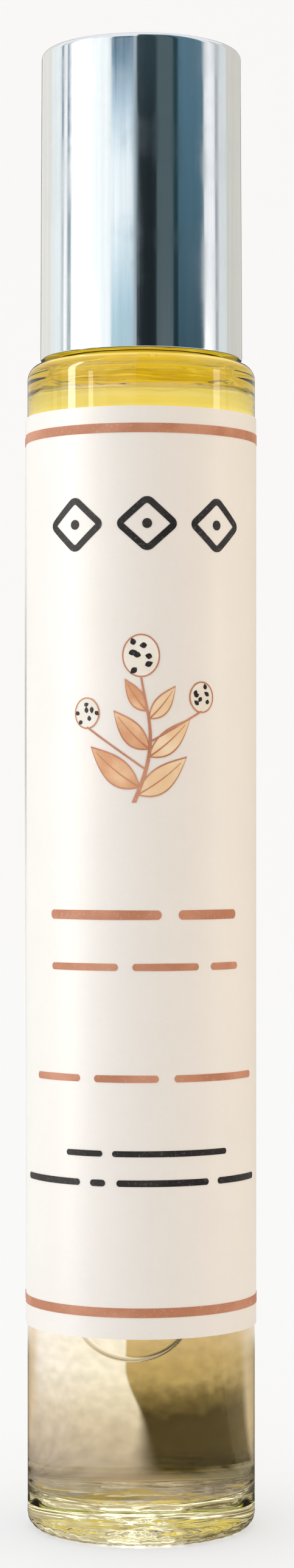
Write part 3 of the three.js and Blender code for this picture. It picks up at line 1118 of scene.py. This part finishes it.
rose_ink = ink_material("rose_brown_ink", (0.46, 0.19, 0.105), (0.56, 0.26, 0.16))
black_ink = ink_material("black_ink", (0.016, 0.014, 0.014), (0.03, 0.028, 0.027), bare=0.06)
tan_ink = ink_material("tan_ink", (0.66, 0.33, 0.17), (0.82, 0.55, 0.33), wash=420.0, bare=0.1)
peach_ink = ink_material("peach_ink", (0.8, 0.56, 0.33), (0.85, 0.68, 0.48), wash=380.0, bare=0.1)
cream_ink = ink_material("cream_ink", (0.78, 0.73, 0.64), (0.83, 0.8, 0.75), wash=500.0, bare=0.0)
print("inks:", ", ".join(ink.name for ink in (rose_ink, black_ink, tan_ink, peach_ink, cream_ink)))

# %% [markdown]
# ## Drawing flat and bending round
# Print is easier to draw on a flat sheet, in millimetres from the front's middle line and from the foot.
# Then the sheet is cut into narrow columns and bent onto the paper, where it gets a hair's thickness.
# Each sheet holds shapes in one ink.

# %% Helpers for flat shapes
COLUMN = 0.5 * MM
FILL_LIFT = 0.03 * MM
INK_REACH = 0.01 * MM
DISC_CORNERS, BAR_CORNERS = 36, 22


def flat_disc(radius, segments=DISC_CORNERS):
    shape = bmesh.new()
    bmesh.ops.create_circle(shape, cap_ends=True, radius=radius, segments=segments)
    return shape


def flat_bar(length, height):
    """A bar with round ends: a disc whose two halves are pushed apart."""
    shape = flat_disc(height / 2, BAR_CORNERS)
    for side in (-1, 1):
        half = [point for point in shape.verts if point.co.x * side > 0]
        bmesh.ops.translate(shape, verts=half, vec=(side * (length - height) / 2, 0, 0))
    return shape


def outline_of(shape, width):
    """Keeps only a line of this width along the edge of a flat shape."""
    inner = shape.faces[:]
    bmesh.ops.inset_region(shape, faces=inner, thickness=width, use_boundary=True, use_even_offset=True)
    bmesh.ops.delete(shape, geom=inner, context="FACES")
    return shape


def place_flat(sheet, shape, along, height, turn=0.0):
    """Turns a flat shape, moves it to its place, and copies it into the sheet."""
    bmesh.ops.rotate(shape, verts=shape.verts, cent=(0, 0, 0), matrix=Matrix.Rotation(turn, 3, "Z"))
    bmesh.ops.translate(shape, verts=shape.verts, vec=(along, height, 0))
    mesh = bpy.data.meshes.new("flat")
    shape.to_mesh(mesh)
    shape.free()
    sheet.from_mesh(mesh)
    bpy.data.meshes.remove(mesh)


def bend_round(sheet, lift):
    """Bends the flat sheet onto the paper and gives it its thickness."""
    reach = max(abs(point.co.x) for point in sheet.verts)
    for step in range(-int(reach / COLUMN), int(reach / COLUMN) + 1):
        bmesh.ops.bisect_plane(
            sheet, geom=sheet.verts[:] + sheet.edges[:] + sheet.faces[:], dist=WELD,
            plane_co=(step * COLUMN, 0, 0), plane_no=(1, 0, 0))
    sheet.normal_update()
    bmesh.ops.reverse_faces(sheet, faces=[face for face in sheet.faces if face.normal.z < 0])
    for point in sheet.verts:
        point.co = on_bottle(point.co.x / label_outer, label_outer + lift, point.co.y)
    sheet.normal_update()
    bmesh.ops.solidify(sheet, geom=sheet.faces[:], thickness=lift + INK_REACH)
    return sheet


# %% [markdown]
# ## The two stripes
# A thin stripe runs round near each edge of the label. It follows the strip of paper over its own start, so
# it is made as the paper was, from a grid along the strip.

# %% Stripes
STRIPE_WIDTH = 0.64 * MM
STRIPE_HEIGHTS = (16.1 * MM, 76.3 * MM)
STRIPE_ROWS = 2
first_seen = start_bearing + OVERLAP
stripes = bmesh.new()
for stripe_height in STRIPE_HEIGHTS:
    low, high = stripe_height - STRIPE_WIDTH / 2, stripe_height + STRIPE_WIDTH / 2
    place_flat(stripes, strip_round(first_seen, low, high, STRIPE_ROWS, FILL_LIFT), 0, 0)
thicken_inwards(stripes, FILL_LIFT + INK_REACH)
finish_piece("label_stripes", stripes, rose_ink)

# %% [markdown]
# ## A row of lozenges
# Three open lozenges stand at the top of the label. Each is a disc of four corners, stretched, with its
# corners rounded by a bevel of its vertices, and then only a line along its edge is kept.

# %% Lozenges
LOZENGE_WIDTH, LOZENGE_HEIGHT = 4.6 * MM, 4.1 * MM
LOZENGE_LINE = 0.46 * MM
LOZENGE_ROUND, ROUND_CUTS = 0.55 * MM, 6
LOZENGE_STEP = 5.2 * MM
DOT_RADIUS, DOT_CORNERS = 0.34 * MM, 20
EMBLEM_HEIGHT = 69.8 * MM
EMBLEM_MIDDLE = 0.4 * MM
emblem = bmesh.new()
for place in (-1, 0, 1):
    along = EMBLEM_MIDDLE + place * LOZENGE_STEP
    lozenge = flat_disc(1.0, 4)
    bmesh.ops.scale(lozenge, verts=lozenge.verts, vec=(LOZENGE_WIDTH / 2, LOZENGE_HEIGHT / 2, 1))
    bmesh.ops.bevel(
        lozenge, geom=lozenge.verts[:], offset=LOZENGE_ROUND, offset_type="OFFSET", segments=ROUND_CUTS,
        profile=0.5, affect="VERTICES", material=-1)
    place_flat(emblem, outline_of(lozenge, LOZENGE_LINE), along, EMBLEM_HEIGHT)
    place_flat(emblem, flat_disc(DOT_RADIUS, DOT_CORNERS), along, EMBLEM_HEIGHT)
finish_piece("label_lozenges", bend_round(emblem, FILL_LIFT), black_ink)

# %% [markdown]
# ## Lines of small print
# Each line is a few bars with round ends, as long as words are. A bar is a disc whose halves are pushed
# apart.

# %% Bars, as (height, thickness, starts and ends), in mm from the front's middle line
ROSE_LINES = [
    (43.15, 0.66, [(-7.0, 1.4), (2.6, 7.5)]),
    (39.6, 0.5, [(-6.9, -1.6), (-0.6, 4.1), (5.1, 7.7)]),
    (32.0, 0.5, [(-8.6, -4.4), (-3.3, 1.2), (2.3, 9.6)]),
]
BLACK_LINES = [
    (26.9, 0.42, [(-5.5, -2.7), (-2.0, 6.5)]),
    (24.9, 0.46, [(-10.2, -4.4), (-3.6, -2.5), (-1.7, 4.9), (5.7, 10.2)]),
]


def printed_lines(name, lines, ink):
    sheet = bmesh.new()
    for height, thickness, words in lines:
        for start, end in words:
            bar = flat_bar((end - start) * MM, thickness * MM)
            place_flat(sheet, bar, (start + end) / 2 * MM, height * MM)
    finish_piece(name, bend_round(sheet, FILL_LIFT), ink)


printed_lines("label_rose_lines", ROSE_LINES, rose_ink)
printed_lines("label_black_lines", BLACK_LINES, black_ink)

# %% [markdown]
# ## A sprig in watercolour
# The middle of the label carries a sprig with leaves and three pale buds. A leaf is a disc whose edge is
# drawn in to two points. Its outline lies a hair above the wash. An even inset would fold over where the
# points crowd at a tip, so the leaf is inset by nothing, and the inner edge is then drawn towards its middle.
# The stem is a narrow grid whose points are moved onto a soft S.

# %% Helpers for the stem and the leaves
STEM_FOOT = Vector((-0.5 * MM, 50.8 * MM, 0))
STEM_LENGTH = 8.6 * MM
STEM_SWAY, STEM_SWING = 0.7 * MM, 1.2
STEM_LEAN = 0.9 * MM
INK_LINE, LINE_START = 0.1 * MM, 1.2
LEAF_CORNERS, LEAF_FULLNESS = 44, 0.3


def stem_point(share):
    sway = STEM_SWAY * math.sin(share * math.pi * STEM_SWING)
    return STEM_FOOT + Vector((sway + STEM_LEAN * share, STEM_LENGTH * share, 0))


def leaf(length, width, bend):
    """A leaf along +X, from its stalk at the origin to its tip."""
    shape = flat_disc(1.0, LEAF_CORNERS)
    for point in shape.verts:
        along, across = point.co.x, point.co.y
        share = (along + 1) / 2
        half = width / 2 * (1 - along ** 2) * (1 - LEAF_FULLNESS * along)
        point.co = (share * length, math.copysign(half, across) + bend * length * share ** 2, 0)
    return shape


def leaf_outline(length, width, bend):
    """Only a thin line along the edge of a leaf."""
    shape = leaf(length, width, bend)
    inner = shape.faces[:]
    bmesh.ops.inset_region(shape, faces=inner, thickness=0, use_boundary=True)
    across = [point.co.y for point in inner[0].verts]
    middle = Vector((length / 2, (max(across) + min(across)) / 2, 0))
    shrink = (1 - 2 * INK_LINE / length, 1 - 2 * INK_LINE / (max(across) - min(across)), 1)
    bmesh.ops.scale(shape, verts=inner[0].verts[:], vec=shrink, space=Matrix.Translation(-middle))
    bmesh.ops.delete(shape, geom=inner, context="FACES")
    return shape


VEIN_CUTS, VEIN_SHARE = 12, 0.86


def vein(length, bend):
    """The line along the middle of a leaf, which ends short of its tip."""
    shape = bmesh.new()
    bmesh.ops.create_grid(shape, x_segments=VEIN_CUTS, y_segments=1, size=0.5)
    for point in shape.verts:
        share = VEIN_SHARE * (point.co.x + 0.5)
        half = point.co.y * INK_LINE * (LINE_START - share)
        point.co = (share * length, half + bend * length * share ** 2, 0)
    return shape


# %% Leaves, as (share of the stem, turn in degrees, length, width), and the stem
LEAVES = [
    (0.06, 28, 4.3, 1.7), (0.12, 150, 4.4, 1.8), (0.36, 33, 3.9, 1.5), (0.42, 142, 3.6, 1.5),
    (0.66, 42, 2.9, 1.2), (0.72, 134, 2.7, 1.1)]
LEAF_BEND = 0.16
STEM_WIDTH, STEM_TAPER, STEM_CUTS = 0.26 * MM, 0.7, 28
leaves, shaded, lines = bmesh.new(), bmesh.new(), bmesh.new()
for number, (share, turn, length, width) in enumerate(LEAVES):
    foot = stem_point(share)
    bend = LEAF_BEND if turn < 90 else -LEAF_BEND
    sheet = leaves if number % 2 else shaded
    size = (length * MM, width * MM, bend)
    place_flat(sheet, leaf(*size), foot.x, foot.y, math.radians(turn))
    place_flat(lines, leaf_outline(*size), foot.x, foot.y, math.radians(turn))
    place_flat(lines, vein(length * MM, bend), foot.x, foot.y, math.radians(turn))

stem = bmesh.new()
bmesh.ops.create_grid(stem, x_segments=STEM_CUTS, y_segments=1, size=0.5)
for point in stem.verts:
    share = point.co.x + 0.5
    middle = stem_point(share)
    half = point.co.y * STEM_WIDTH * (LINE_START - STEM_TAPER * share)
    point.co = (middle.x + half, middle.y, 0)
place_flat(lines, stem, 0, 0)
print(len(LEAVES), "leaves on a stem of", round(STEM_LENGTH / MM, 1), "mm")

# %% [markdown]
# ## Buds with dark flecks
# A pale bud ends the stem, and two more stand beside it on stalks. Each has a few dark drops: one in its
# middle and a ring round it, all a little uneven. The dice are seeded, so that the sprig comes out the same
# each time.

# %% Buds, as (share of the stem, way aside, way up, radius)
BUDS = [(1.0, 0.0, 1.4, 1.3), (0.5, 3.7, 2.9, 0.95), (0.28, -4.2, 3.7, 0.95)]
BUD_STRETCH = 1.14
DROPS_EACH = 7
DROP_RING, RING_SWING, TURN_SWING = 0.62, (0.9, 1.1), (-0.2, 0.2)
DROP_LENGTH, DROP_WIDTH = (0.38, 0.5), 0.3
STALK_WIDTH, STALK_DROP = 0.13 * MM, 0.02
dice = random.Random(11)
buds, flecks = bmesh.new(), bmesh.new()
for share, aside, up, radius in BUDS:
    place = stem_point(share) + Vector((aside * MM, up * MM, 0))
    for sheet, shape in ((buds, flat_disc(1.0)), (lines, flat_disc(1.0))):
        bmesh.ops.scale(shape, verts=shape.verts, vec=(radius * MM, BUD_STRETCH * radius * MM, 1))
        if sheet is lines:
            outline_of(shape, INK_LINE)
        place_flat(sheet, shape, place.x, place.y)
    for number in range(DROPS_EACH):
        turn = number * math.tau / (DROPS_EACH - 1) + dice.uniform(*TURN_SWING)
        reach = (DROP_RING if number else 0.0) * radius * MM * dice.uniform(*RING_SWING)
        drop = leaf(dice.uniform(*DROP_LENGTH) * MM * radius, DROP_WIDTH * MM * radius, 0)
        place_flat(
            flecks, drop, place.x + reach * math.cos(turn), place.y + reach * math.sin(turn),
            dice.uniform(0, math.tau))
    if aside:
        stalk = stem_point(share - STALK_DROP)
        way = Vector((place.x, place.y - radius * MM, 0)) - stalk
        twig = flat_bar(way.length, STALK_WIDTH)
        place_flat(lines, twig, stalk.x + way.x / 2, stalk.y + way.y / 2, math.atan2(way.y, way.x))
print(len(flecks.faces), "flecks on", len(BUDS), "buds")

# %% The five sheets of the sprig
BUD_LIFT, LINE_LIFT = 0.035 * MM, 0.045 * MM
finish_piece("sprig_leaves", bend_round(leaves, FILL_LIFT), tan_ink)
finish_piece("sprig_pale_leaves", bend_round(shaded, FILL_LIFT), peach_ink)
finish_piece("sprig_buds", bend_round(buds, BUD_LIFT), cream_ink)
finish_piece("sprig_lines", bend_round(lines, LINE_LIFT), rose_ink)
finish_piece("sprig_flecks", bend_round(flecks, LINE_LIFT), black_ink)

# %% [markdown]
# ## How the picture is shown
# The colours stay as they are set, without a film look, and the light may cross enough surfaces to get
# through glass, oil and glass again.

# %% Colour and light paths
GLASS_BOUNCES, MIRROR_BOUNCES = 24, 12
scene = bpy.context.scene
scene.view_settings.view_transform = "Standard"
scene.cycles.use_denoising = True
scene.cycles.max_bounces = GLASS_BOUNCES
scene.cycles.transmission_bounces = GLASS_BOUNCES
scene.cycles.glossy_bounces = MIRROR_BOUNCES
print("light may cross", GLASS_BOUNCES, "surfaces")
